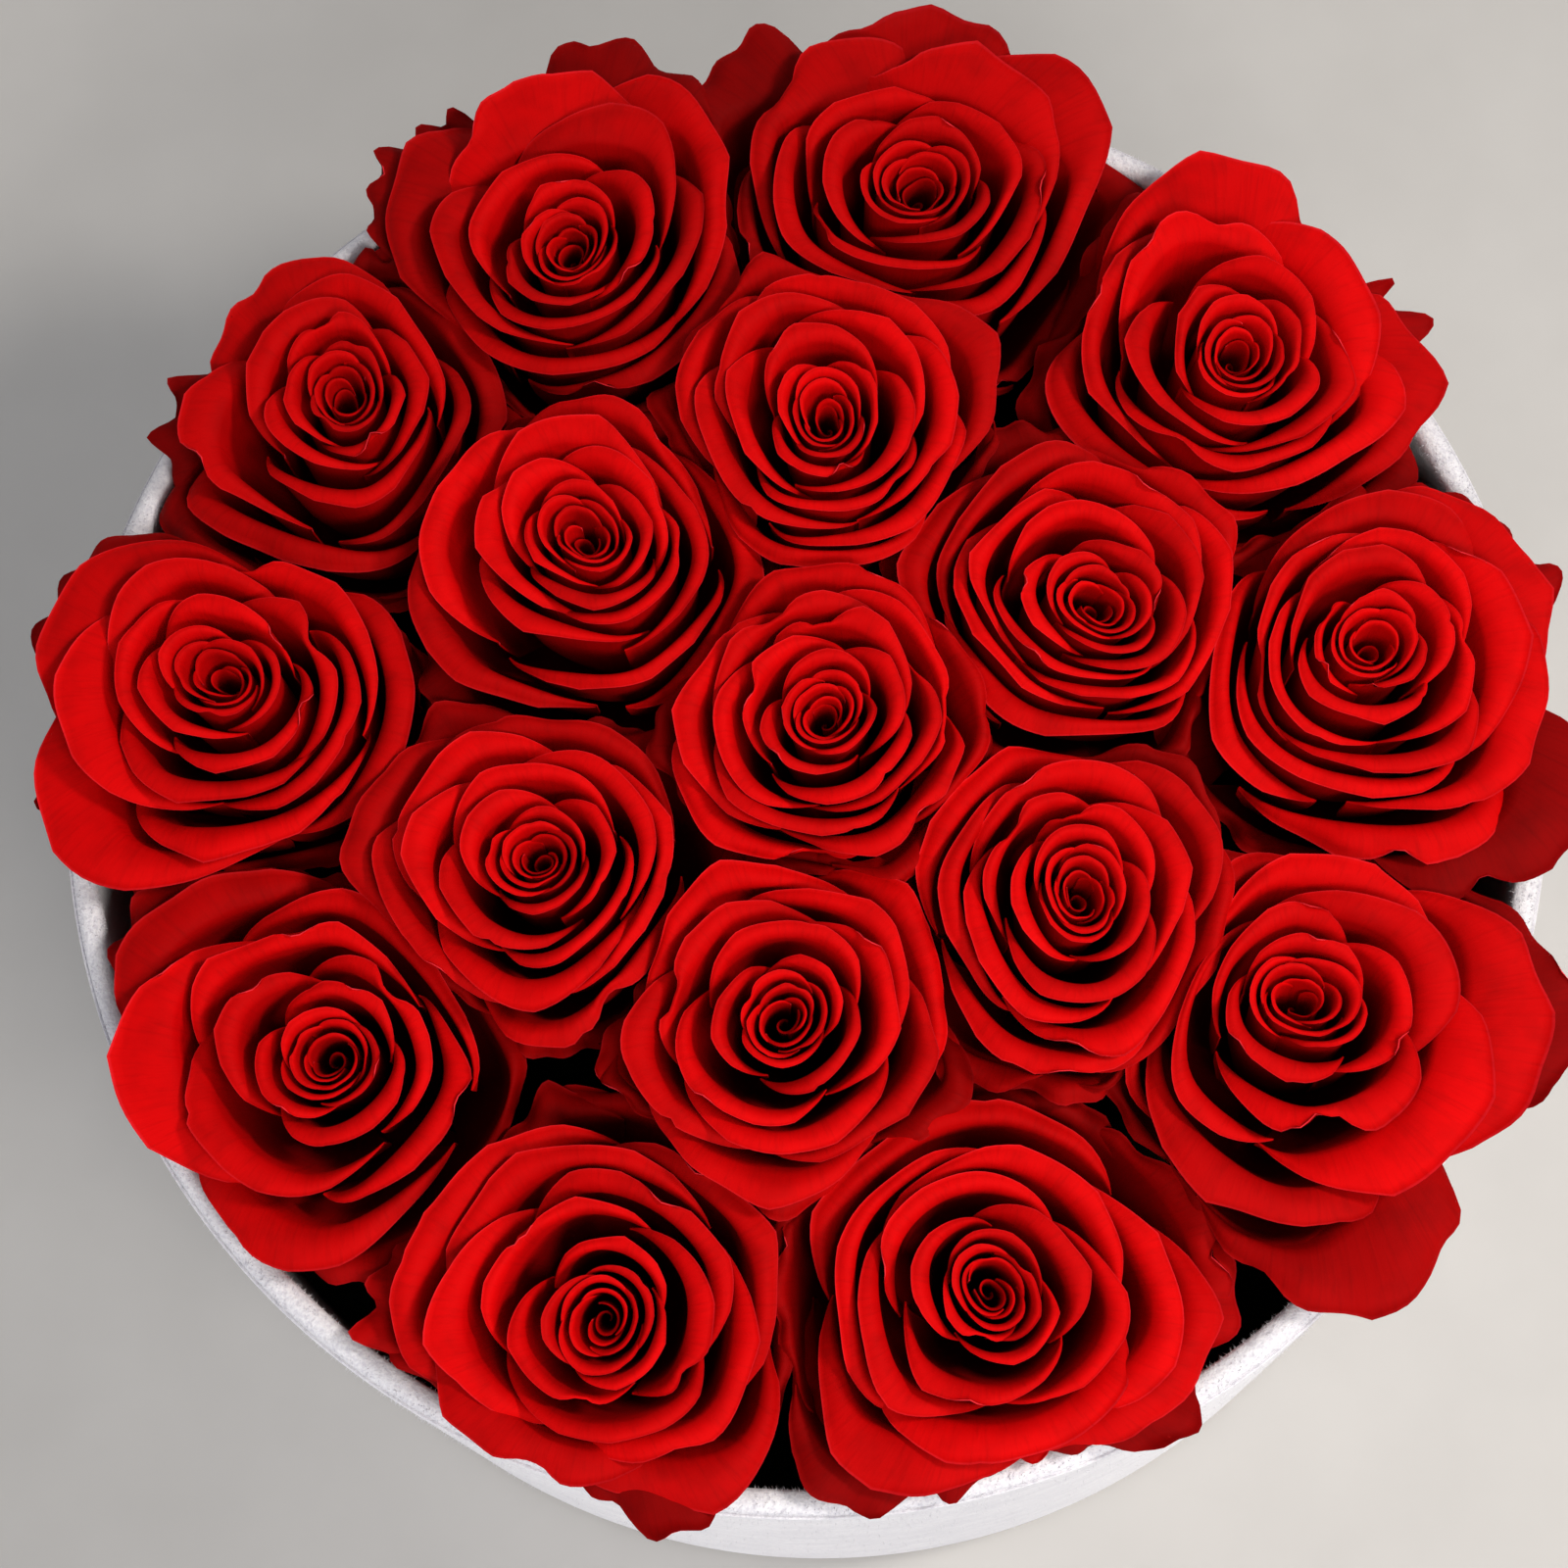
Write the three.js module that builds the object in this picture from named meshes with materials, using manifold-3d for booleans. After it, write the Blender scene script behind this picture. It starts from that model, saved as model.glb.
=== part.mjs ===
// A round keepsake box of preserved roses: a white velvet hat box with no lid,
// a foam disc in it, and seventeen red rose heads on short cut stems.
// Millimetres, +Z up. The origin is the middle of the box's underside.
import * as THREE from "three";
import { mergeVertices } from "three/addons/utils/BufferGeometryUtils.js";
import Module from "manifold-3d";

const wasm = await Module();
wasm.setup();

// ---- driving dimensions ----

// The box: a rolled board tube and a board disc, covered with velvet.
const BOX_RADIUS = 115;
const BOX_HEIGHT = 140;
const BOARD = 2.2;
const VELVET = 0.8;
const SEAM = 0.3;
const RIM_ROUND = 1.0;
const TURN_IN = 14;
const BASE_DISC_RADIUS = 112;
const BOX_SIDES = 40;

// The dry foam disc that holds the stems.
const FOAM_TOP = 101;
const FOAM_CLEARANCE = 0.4;

// A cut stem with the green hip that the petals grow from.
const STEM_RADIUS = 2.4;
const STEM_IN_FOAM = 38;
const HIP_RADIUS = 5.4;
const HIP_HEIGHT = 9;
const STEM_SIDES = 6;

// The heads splay outwards, so the stems stand nearer the box's axis than the heads.
const STEM_INSET = 0.94;

// A rose head, from the hip to the crest of its highest petals.
const HEAD_HEIGHT = 42;
const PETAL = 0.8;
const BETWEEN_HEADS = 0.6;
const GOLDEN_ANGLE = (137.5 * Math.PI) / 180;

// One row a rose. at: middle of the head. radius: the spread of the outer petals.
// heart: how far the bud leans off the middle. crest: petal tops above the rim.
// turn: 1 where the petals wind anticlockwise. start: first petal's azimuth.
const OUTER_CREST = 16;
const INNER_CREST = 21;
const MIDDLE_CREST = 24;
const ROSES = [
  { at: [5, 3], radius: 25, heart: [-1, -1], crest: MIDDLE_CREST, turn: 1, start: 80 },
  { at: [5, 54], radius: 27, heart: [-1, -4], crest: INNER_CREST, turn: -1, start: 40 },
  { at: [-34, 31], radius: 27, heart: [1, 1], crest: INNER_CREST, turn: 1, start: 200 },
  { at: [-41, -20], radius: 26, heart: [2, 1], crest: INNER_CREST, turn: -1, start: 310 },
  { at: [-3, -43], radius: 26, heart: [1, -1], crest: INNER_CREST, turn: 1, start: 20 },
  { at: [41, -26], radius: 26, heart: [1, 1], crest: INNER_CREST, turn: -1, start: 130 },
  { at: [43, 25], radius: 26, heart: [3, -6], crest: INNER_CREST, turn: 1, start: 250 },
  { at: [17, 94], radius: 28, heart: [2, -3], crest: OUTER_CREST, turn: -1, start: 100 },
  { at: [-37, 88], radius: 28, heart: [1, -8], crest: OUTER_CREST, turn: 1, start: 75 },
  { at: [-75, 56], radius: 26, heart: [4, 1], crest: OUTER_CREST, turn: 1, start: 160 },
  { at: [-90, 9], radius: 28, heart: [1, 2], crest: OUTER_CREST, turn: -1, start: 10 },
  { at: [-75, -47], radius: 29, heart: [5, -2], crest: OUTER_CREST, turn: -1, start: 230 },
  { at: [-30, -86], radius: 30, heart: [1, -2], crest: OUTER_CREST, turn: 1, start: 285 },
  { at: [28, -86], radius: 30, heart: [0, 3], crest: OUTER_CREST, turn: -1, start: 330 },
  { at: [79, -46], radius: 30, heart: [-5, 6], crest: OUTER_CREST, turn: 1, start: 60 },
  { at: [89, 13], radius: 28, heart: [-2, 2], crest: OUTER_CREST, turn: -1, start: 190 },
  { at: [68, 66], radius: 29, heart: [1, -4], crest: OUTER_CREST, turn: 1, start: 350 },
];

// ---- colours and finishes ----

function finish(color, roughness) {
  return new THREE.MeshStandardMaterial({ color, roughness, metalness: 0 });
}

const WHITE_VELVET = finish(0xe9e8ee, 0.95);
const GREY_BOARD = finish(0x9c9284, 0.9);
const FOAM_GREEN = finish(0x4c5a3a, 1.0);
const STEM_GREEN = finish(0x3d4a22, 0.8);
const ROSE_RED = finish(0xc70a0c, 0.75);

const part = new THREE.Group();

function add(name, geometry, material) {
  const mesh = new THREE.Mesh(geometry, material);
  mesh.name = name;
  part.add(mesh);
}

// ---- closed meshes and solids ----

// A three.js geometry as a manifold-3d solid.
function solid(geometry) {
  const bare = geometry.clone();
  bare.deleteAttribute("normal");
  bare.deleteAttribute("uv");
  const merged = mergeVertices(bare, 1e-4);
  return new wasm.Manifold(
    new wasm.Mesh({
      numProp: 3,
      vertProperties: new Float32Array(merged.attributes.position.array),
      triVerts: new Uint32Array(merged.index.array),
    }),
  );
}

function geometryOf(made) {
  const mesh = made.getMesh();
  const geometry = new THREE.BufferGeometry();
  geometry.setAttribute("position", new THREE.BufferAttribute(mesh.vertProperties, 3));
  geometry.setIndex(new THREE.BufferAttribute(mesh.triVerts, 1));
  geometry.computeVertexNormals();
  return geometry;
}

// A profile of [radius, height] points, turned about +Z. It runs upwards on the outside.
function turned(profile, sides) {
  const points = profile.map(([r, z]) => new THREE.Vector2(r, z));
  return new THREE.LatheGeometry(points, sides).rotateX(Math.PI / 2);
}

const closed = (profile) => [...profile, profile[0]];

// A grid of mid-surface points made into a plate of even thickness. Both faces
// are split into the same triangles. columns[i][j] runs across, then upwards.
function plate(columns, thickness) {
  const across = columns.length;
  const up = columns[0].length;
  const within = (value, count) => Math.min(Math.max(value, 0), count - 1);
  const at = (i, j) => columns[within(i, across)][within(j, up)];
  const vertices = [];
  for (const side of [1, -1])
    for (let i = 0; i < across; i++)
      for (let j = 0; j < up; j++) {
        const along = at(i + 1, j).clone().sub(at(i - 1, j));
        const upward = at(i, j + 1).clone().sub(at(i, j - 1));
        const normal = along.cross(upward).normalize();
        vertices.push(...at(i, j).clone().addScaledVector(normal, (side * thickness) / 2));
      }
  const faces = [];
  const front = (i, j) => i * up + j;
  const back = (i, j) => across * up + i * up + j;
  const quad = (a, b, c, d) => faces.push(a, b, c, a, c, d);
  const last = across - 1;
  const top = up - 1;
  for (let i = 0; i < last; i++)
    for (let j = 0; j < top; j++) {
      quad(front(i, j), front(i + 1, j), front(i + 1, j + 1), front(i, j + 1));
      faces.push(back(i, j), back(i + 1, j + 1), back(i + 1, j));
      faces.push(back(i, j), back(i, j + 1), back(i + 1, j + 1));
    }
  for (let i = 0; i < last; i++) {
    quad(back(i, 0), back(i + 1, 0), front(i + 1, 0), front(i, 0));
    quad(front(i, top), front(i + 1, top), back(i + 1, top), back(i, top));
  }
  for (let j = 0; j < top; j++) {
    quad(front(0, j), front(0, j + 1), back(0, j + 1), back(0, j));
    quad(back(last, j), back(last, j + 1), front(last, j + 1), front(last, j));
  }
  const geometry = new THREE.BufferGeometry();
  geometry.setAttribute("position", new THREE.BufferAttribute(new Float32Array(vertices), 3));
  geometry.setIndex(faces);
  const made = solid(geometry);
  if (made.volume() > 0) return made;
  geometry.index.array.reverse();
  return solid(geometry);
}

// ---- the box ----

const boardOuter = BOX_RADIUS - VELVET - SEAM;
const boardInner = boardOuter - BOARD;
const liningOuter = boardInner - SEAM;
const liningInner = liningOuter - VELVET;
const turnInRadius = BOX_RADIUS - TURN_IN;
const coverBottom = VELVET + SEAM;
const boardBottom = coverBottom + VELVET + SEAM;
const baseTop = boardBottom + BOARD;
const boardTop = BOX_HEIGHT - VELVET - SEAM;

// The velvet goes up the outside, over the rim and down the inside, and its
// lower edge is turned in under the wall. A velvet disc covers that edge.
const velvetProfile = [
  [turnInRadius, coverBottom],
  [BOX_RADIUS, coverBottom],
  [BOX_RADIUS, BOX_HEIGHT - RIM_ROUND],
  [BOX_RADIUS - RIM_ROUND, BOX_HEIGHT],
  [liningInner + RIM_ROUND, BOX_HEIGHT],
  [liningInner, BOX_HEIGHT - RIM_ROUND],
  [liningInner, baseTop + SEAM],
  [liningOuter, baseTop + SEAM],
  [liningOuter, BOX_HEIGHT - VELVET],
  [BOX_RADIUS - VELVET, BOX_HEIGHT - VELVET],
  [BOX_RADIUS - VELVET, coverBottom + VELVET],
  [turnInRadius, coverBottom + VELVET],
];

const wallProfile = [
  [boardInner, boardBottom],
  [boardOuter, boardBottom],
  [boardOuter, boardTop],
  [boardInner, boardTop],
];

function disc(radius, low, high) {
  return turned([[0, low], [radius, low], [radius, high], [0, high]], BOX_SIDES);
}

add("velvet_cover", turned(closed(velvetProfile), BOX_SIDES), WHITE_VELVET);
add("wall_board", turned(closed(wallProfile), BOX_SIDES), GREY_BOARD);
add("base_board", disc(boardInner - SEAM, boardBottom, baseTop), GREY_BOARD);
add("base_velvet", disc(BASE_DISC_RADIUS, 0, VELVET), WHITE_VELVET);

// ---- stems and foam ----

const stemPlace = (rose) => [rose.at[0] * STEM_INSET, rose.at[1] * STEM_INSET, 0];
const hipTop = (rose) => BOX_HEIGHT + rose.crest - HEAD_HEIGHT - SEAM;

function stem(rose) {
  const top = hipTop(rose);
  const profile = [
    [0, FOAM_TOP - STEM_IN_FOAM],
    [STEM_RADIUS, FOAM_TOP - STEM_IN_FOAM],
    [STEM_RADIUS, top - HIP_HEIGHT],
    [HIP_RADIUS, top - HIP_HEIGHT / 3],
    [HIP_RADIUS * 0.8, top],
    [0, top],
  ];
  return turned(profile, STEM_SIDES).translate(...stemPlace(rose));
}

function stemHole(rose) {
  const radius = STEM_RADIUS + SEAM / Math.cos(Math.PI / STEM_SIDES);
  const bottom = FOAM_TOP - STEM_IN_FOAM - SEAM;
  const profile = [[0, bottom], [radius, bottom], [radius, FOAM_TOP + 1], [0, FOAM_TOP + 1]];
  return solid(turned(profile, STEM_SIDES).translate(...stemPlace(rose)));
}

let foam = solid(disc(liningInner - FOAM_CLEARANCE, baseTop + SEAM, FOAM_TOP));
for (const rose of ROSES) foam = foam.subtract(stemHole(rose));
add("foam", geometryOf(foam), FOAM_GREEN);

// ---- a rose head ----
// A point of the head is a share of its spread (0 at the bud's axis, 1 at the
// outline), an azimuth, and a share of its height (0 at the hip, 1 at the crest).

// Below the rim a head keeps clear of the wall. Above it the petals lean out a
// little further, and the lips of the outermost ones hang over the rim.
const RIM_CLEARANCE = 1.6;
const WALL_LEAN = 0.25;
const LIP_LEAN = 1.9;
function wallLimit(z, overhang) {
  const above = z - BOX_HEIGHT - RIM_CLEARANCE;
  const overRim = overhang * LIP_LEAN * Math.max(above, 0);
  return liningInner - RIM_CLEARANCE + WALL_LEAN * above + overRim;
}

// How far the head can spread towards an azimuth: its own radius, rounded off
// by the flats it is pressed to between it and its neighbours, and by the wall.
const PRESS = 8;
const OPENNESS = 1.15;
function spread(rose, middle, azimuth, limit) {
  const aside = middle[0] * Math.cos(azimuth) + middle[1] * Math.sin(azimuth);
  const toWall = Math.sqrt(aside ** 2 + limit ** 2 - Math.hypot(...middle) ** 2) - aside;
  let sum = (OPENNESS * rose.radius) ** -PRESS + toWall ** -PRESS;
  for (const other of ROSES) {
    const dx = other.at[0] - rose.at[0];
    const dy = other.at[1] - rose.at[1];
    const apart = Math.hypot(dx, dy);
    const facing = Math.cos(azimuth - Math.atan2(dy, dx));
    if (other === rose || facing <= 0) continue;
    const own = (apart * rose.radius) / (rose.radius + other.radius) - BETWEEN_HEADS;
    sum += (facing / own) ** PRESS;
  }
  return sum ** (-1 / PRESS);
}

function headPoint(rose, share, azimuth, height, overhang = 0) {
  const z = BOX_HEIGHT + rose.crest - HEAD_HEIGHT * (1 - height);
  const splay = STEM_INSET + (1 - STEM_INSET) * Math.min(height, 1);
  const middle = rose.at.map((place) => place * splay);
  const reach = share * spread(rose, middle, azimuth, wallLimit(z, overhang));
  const lean = (1 - Math.min(share, 1) ** 1.5) * Math.min(height, 1);
  return new THREE.Vector3(
    middle[0] + rose.heart[0] * lean + reach * Math.cos(azimuth),
    middle[1] + rose.heart[1] * lean + reach * Math.sin(azimuth),
    z,
  );
}

// The crest is highest a third of the way out and falls towards the outline.
const HIGHEST = 0.35;
function crestHeight(level) {
  return level > HIGHEST
    ? 1 - 0.22 * ((level - HIGHEST) / (1 - HIGHEST)) ** 2
    : 1 - 0.08 * ((HIGHEST - level) / HIGHEST) ** 2;
}

// Petals stand closer together at their feet than at their crests.
const footLevel = (level) => level * (0.72 - 0.14 * level);

// Repeatable random numbers from 0 to 1.
function seeded(seed) {
  let state = seed;
  return () => {
    state = (state * 16807) % 2147483647;
    return state / 2147483647;
  };
}

// The first petals are plain, and the others have a flared lip. The steps hold
// where a column of points meets the crest, and where it meets the narrow foot.
const PETALS = 10;
const PLAIN_PETALS = 3;
const FIRST_LEVEL = 0.31;
const LAST_LEVEL = 0.95;
const INNER_HALF_WIDTH = 1.25;
const OUTER_HALF_WIDTH = 1.03;
const FLARE = 0.12;
const DROOP = 0.05;
const TWIST = 0.012;
const TUCK = 0.02;
const CORNER_DROP = 0.13;
const FOOT_HEIGHT = 0.36;
const PLAIN_STEPS = [[-1, -0.6], [-0.35, -0.6], [0.35, 0.6], [1, 0.6]];
const LIPPED_STEPS = [[-1, -0.6], [-0.55, -0.6], [0, 0], [0.55, 0.6], [1, 0.6]];

// Unevenness of the petals: in azimuth, in height and in the flare of the lip.
const STRAY = 0.12;
const UNEVEN = 0.02;
const FLARE_STRAY = 0.3;

// The petals open widest near the bud and pack closer towards the outline.
function petalLevel(k) {
  return FIRST_LEVEL + (LAST_LEVEL - FIRST_LEVEL) * (1 - (1 - k / (PETALS - 1)) ** 1.2);
}

// The k-th petal: t runs from -1 to 1 across it. Its wall rises from a narrow
// foot sunk in the core to the crest, and its lip flares out and down. Its sides
// are tucked in under the petals that came after it, and it flares only as far
// as they leave it room, so it crosses none of them.
function petal(rose, k, start, random) {
  const level = petalLevel(k);
  const middle = start + rose.turn * GOLDEN_ANGLE * k + STRAY * (random() - 0.5);
  const halfWidth = THREE.MathUtils.lerp(INNER_HALF_WIDTH, OUTER_HALF_WIDTH, k / (PETALS - 1));
  const lipped = k >= PLAIN_PETALS;
  const room = k + 3 < PETALS ? 0.35 * (petalLevel(k + 3) - level) : FLARE;
  const raise = UNEVEN * (random() - 0.5);
  const steps = lipped ? LIPPED_STEPS : PLAIN_STEPS;
  const columns = steps.map(([t, foot]) => {
    const azimuth = middle + rose.turn * halfWidth * t;
    const footAzimuth = middle + rose.turn * halfWidth * foot;
    const own = level + TWIST * t - TUCK * t * t;
    const crest = crestHeight(level) - CORNER_DROP * Math.abs(t) ** 3 + raise;
    const column = [
      headPoint(rose, footLevel(level), footAzimuth, FOOT_HEIGHT),
      headPoint(rose, own, azimuth, crest),
    ];
    if (lipped) {
      const free = (1 - 0.75 * t * t) * THREE.MathUtils.clamp(1 + 1.8 * t, 0, 1);
      const flare = Math.min(FLARE, room) * free * (1 + FLARE_STRAY * (random() - 0.5));
      const overhang = k + 2 >= PETALS || (k + 3 === PETALS && t > -0.3) ? 1 : 0;
      const lipHeight = crest - DROOP * (1 - 0.6 * t * t);
      column.push(headPoint(rose, Math.min(own + flare, 1), azimuth, lipHeight, overhang));
    }
    return column;
  });
  return plate(columns, PETAL);
}

// The bud: one rolled strip that winds outwards.
const BUD_TURNS = 2.2;
const BUD_STEPS = 9;
const BUD_FIRST_LEVEL = 0.055;
const BUD_LAST_LEVEL = 0.24;
const BUD_WAVE = 0.02;
function bud(rose, start) {
  const columns = [];
  for (let i = 0; i <= BUD_STEPS; i++) {
    const share = i / BUD_STEPS;
    const angle = 2 * Math.PI * BUD_TURNS * share ** 0.8;
    const azimuth = start + rose.turn * angle;
    const level = THREE.MathUtils.lerp(BUD_FIRST_LEVEL, BUD_LAST_LEVEL, share);
    const crest = crestHeight(level) - BUD_WAVE * Math.sin(2.5 * angle);
    columns.push([
      headPoint(rose, footLevel(level), azimuth, FOOT_HEIGHT),
      headPoint(rose, level, azimuth, crest),
    ]);
  }
  return plate(columns, PETAL);
}

// The core: the packed feet of the petals, a nine-sided cup with a flat top.
const CORE_RINGS = [
  [0.24, 0],
  [0.52, 0.2],
  [0.64, 0.42],
];
const CORE_SIDES = 9;
const CORE_LID = [[0, 3, 6], [0, 1, 3], [1, 2, 3], [3, 4, 6], [4, 5, 6], [6, 7, 0], [7, 8, 0]];
function core(rose) {
  const vertices = [];
  for (const [share, height] of CORE_RINGS)
    for (let i = 0; i < CORE_SIDES; i++)
      vertices.push(...headPoint(rose, share, (2 * Math.PI * i) / CORE_SIDES, height));
  const faces = [];
  const top = (CORE_RINGS.length - 1) * CORE_SIDES;
  for (const [a, b, c] of CORE_LID) faces.push(a, c, b, top + a, top + b, top + c);
  for (let low = 0; low < top; low += CORE_SIDES)
    for (let i = 0; i < CORE_SIDES; i++) {
      const next = (i + 1) % CORE_SIDES;
      const high = low + CORE_SIDES;
      faces.push(low + i, low + next, high + next, low + i, high + next, high + i);
    }
  const geometry = new THREE.BufferGeometry();
  geometry.setAttribute("position", new THREE.BufferAttribute(new Float32Array(vertices), 3));
  geometry.setIndex(faces);
  return solid(geometry);
}

function bloom(rose, seed) {
  const random = seeded(seed);
  const start = (rose.start * Math.PI) / 180;
  let made = core(rose).add(bud(rose, start));
  for (let k = 0; k < PETALS; k++) made = made.add(petal(rose, k, start, random));
  // What fusing seals in is filled, so only the outer body is kept.
  return made.decompose().sort((a, b) => b.volume() - a.volume())[0];
}

ROSES.forEach((rose, i) => {
  const number = String(i + 1).padStart(2, "0");
  add(`rose_${number}_bloom`, geometryOf(bloom(rose, 101 + 37 * i)), ROSE_RED);
  add(`rose_${number}_stem`, stem(rose), STEM_GREEN);
});

export default part;
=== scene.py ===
"""The looks of a round white velvet box that is packed with seventeen preserved red roses.

Every length in the constants is in millimetres, and a mesh is written in metres.
The box stands on its underside at z = 0, and the photograph's lower edge is towards -Y.
"""

import math

import bpy
import numpy as np
from mathutils import Matrix, Vector


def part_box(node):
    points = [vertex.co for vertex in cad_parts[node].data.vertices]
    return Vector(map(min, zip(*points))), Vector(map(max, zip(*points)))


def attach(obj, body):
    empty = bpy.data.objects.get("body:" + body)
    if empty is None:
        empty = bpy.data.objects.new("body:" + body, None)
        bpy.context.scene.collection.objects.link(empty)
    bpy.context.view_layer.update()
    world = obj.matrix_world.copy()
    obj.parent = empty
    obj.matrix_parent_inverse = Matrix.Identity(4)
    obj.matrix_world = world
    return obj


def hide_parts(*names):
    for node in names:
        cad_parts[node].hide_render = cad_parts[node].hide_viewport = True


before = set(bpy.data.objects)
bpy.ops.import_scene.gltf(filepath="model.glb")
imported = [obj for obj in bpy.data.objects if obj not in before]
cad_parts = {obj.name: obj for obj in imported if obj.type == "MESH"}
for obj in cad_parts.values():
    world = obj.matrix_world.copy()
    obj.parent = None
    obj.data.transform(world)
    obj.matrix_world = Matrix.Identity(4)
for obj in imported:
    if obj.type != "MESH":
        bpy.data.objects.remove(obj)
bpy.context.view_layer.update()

MM = 0.001

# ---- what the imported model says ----

cover_low, cover_high = (np.array(corner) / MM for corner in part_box("velvet_cover"))
BOX_RADIUS = cover_high[0]
BOX_HEIGHT = cover_high[2]
COVER_BOTTOM = cover_low[2]
# The cloth is 0.8 mm thick, the wall with cloth on both sides 4.4 mm, and solids that
# touch in the real box stand 0.3 mm apart.
VELVET = 0.8
WALL = 4.4
SEAM = 0.3
LINING_RADIUS = BOX_RADIUS - WALL
FLOOR_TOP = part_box("base_board")[1][2] / MM + SEAM
BASE_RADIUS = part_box("base_velvet")[1][0] / MM
BASE_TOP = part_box("base_velvet")[1][2] / MM

# The heads splay outwards from their stems, as in the solids.
STEM_INSET = 0.94
HEAD_HEIGHT = 42.0

# One row a rose, in the order of the nodes.
# petals: how many it has, without the bud's core and the guards. radius: their spread.
# heart: how far the bud leans off the middle. turn: 1 where it winds anticlockwise.
# start: the first petal's azimuth. ring: the petal outside of which the head opens.
# gap: how wide it opens there, as a share of the spread. slip: how far the petals inside
# of it stand to one side. lift: how far its petals stand off the rest. over: how far its
# outer petals hang over the rim. deeper: how much darker painted shade makes its petals, where the
# light is dimmer.
ROSE_COLUMNS = ("petals", "radius", "heart", "turn", "start", "ring", "gap",
                "slip", "lift", "over", "painted_falloff_shade")
ROSES = [dict(zip(ROSE_COLUMNS, row)) for row in [
    (24, 25, (-1, -1), 1, 80, 10.5, 0.05, (0.8, 0.3), 0.0, 1.0, 0.0),
    (24, 27, (-1, -4), -1, 40, 10.5, 0.06, (0.3, -0.6), 0.6, 1.0, 0.0),
    (23, 27, (1, 1), 1, 200, 17, 0.08, (1.6, 1.6), -0.8, 1.0, 0.0),
    (23, 26, (2, 1), -1, 310, 10.5, 0.06, (-0.6, 0.8), -0.2, 1.0, 0.0),
    (22, 26, (1, -1), 1, 20, 10.5, 0.08, (0.4, -0.4), 0.8, 1.0, 0.0),
    (23, 26, (1, 1), -1, 130, 11.5, 0.04, (0.8, 0.4), 0.3, 1.0, 0.0),
    (24, 26, (3, -6), 1, 250, 11.5, 0.06, (1.0, -0.6), -0.5, 1.0, 0.0),
    (22, 31, (2, -3), -1, 100, 10.5, 0.05, (0.6, 0.6), -1.0, 1.4, 0.26),
    (21, 28, (1, -8), 1, 75, 10.5, 0.08, (0.4, -1.0), 0.8, 1.0, 0.20),
    (21, 26, (4, 1), 1, 160, 14, 0.10, (2.0, 1.2), -0.4, 0.55, 0.22),
    (23, 28, (1, 2), -1, 10, 10.5, 0.05, (-0.4, 0.6), 0.5, 1.0, 0.0),
    (20, 29, (5, -2), -1, 230, 12, 0.07, (1.2, 1.6), -0.3, 0.5, 0.0),
    (22, 30, (1, -2), 1, 285, 10.5, 0.07, (0.8, 0.2), 0.4, 0.45, 0.0),
    (22, 30, (0, 3), -1, 330, 10.5, 0.06, (0.6, 0.6), -0.6, 0.45, 0.0),
    (20, 30, (-5, 6), 1, 60, 12, 0.04, (1.2, 1.4), 0.9, 1.1, 0.0),
    (24, 28, (-2, 2), -1, 190, 10.5, 0.07, (1.0, 0.8), 0.2, 1.0, 0.0),
    (22, 29, (1, -4), 1, 350, 11.5, 0.07, (1.2, -0.4), -0.4, 0.9, 0.0),
]]

# Roses 1 to 7 stand inside, and the others along the wall.
INNER_ROSES = 7

# Broad outer petals that hang over the rim, by the number of their rose: azimuth and
# half width in degrees, and flare as a share of the spread.
DRAPES = {
    8: [(150, 32, 0.13)],
    9: [(74, 42, 0.10), (160, 32, 0.09)],
    10: [(175, 32, 0.09)],
    11: [(140, 34, 0.11)],
    13: [(-80, 38, 0.09)],
    14: [(-122, 36, 0.14), (-45, 36, 0.16)],
    15: [(-82, 46, 0.17), (14, 38, 0.13)],
    16: [(-52, 40, 0.27), (40, 32, 0.09)],
    17: [(8, 34, 0.12)],
}

for number, rose in enumerate(ROSES, 1):
    rose["name"] = f"rose_{number:02d}"
    rose["drapes"] = DRAPES.get(number, [])
    low, high = (np.array(corner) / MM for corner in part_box(rose["name"] + "_stem"))
    rose["at"] = (low + high)[:2] / 2 / STEM_INSET
    rose["base"] = high[2] + SEAM
    rose["slip"] = np.array(rose["slip"], float)
    rose["lean"] = np.array(rose["heart"], float) - rose["slip"]
    # The hearts differ: how oval each is, towards where, and how often its bud winds.
    rose["oval"] = 0.06 + 0.04 * (number % 4)
    rose["oval_at"] = math.radians(47 * number)
    rose["turns"] = 0.95 + 0.15 * (number % 5)

# Two guard petals of each head along the wall close the corners between it,
# its neighbours and the wall, 4 mm off the lining.
CORNER_OFF_WALL = 4
outer_roses = sorted(ROSES[INNER_ROSES:], key=lambda rose: math.atan2(rose["at"][1], rose["at"][0]))
for rose in ROSES:
    rose["corners"] = []
for rose, beside in zip(outer_roses, outer_roses[1:] + outer_roses[:1]):
    between = rose["at"] / np.linalg.norm(rose["at"]) + beside["at"] / np.linalg.norm(beside["at"])
    corner = (LINING_RADIUS - CORNER_OFF_WALL) * between / np.linalg.norm(between)
    for head in (rose, beside):
        to_corner = corner - head["at"]
        head["corners"].append(math.atan2(to_corner[1], to_corner[0]))

# The dark gaps between the heads, where no guard petal comes up.
GAPS = np.array([
    [-39, -50], [-73, -15], [46, -55], [-12, 111], [51, 36],
    [30, 65], [-3, -107], [-40, 61], [66, -11], [-68, 31],
], float)


# ---- meshes from grids of points ----

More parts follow.
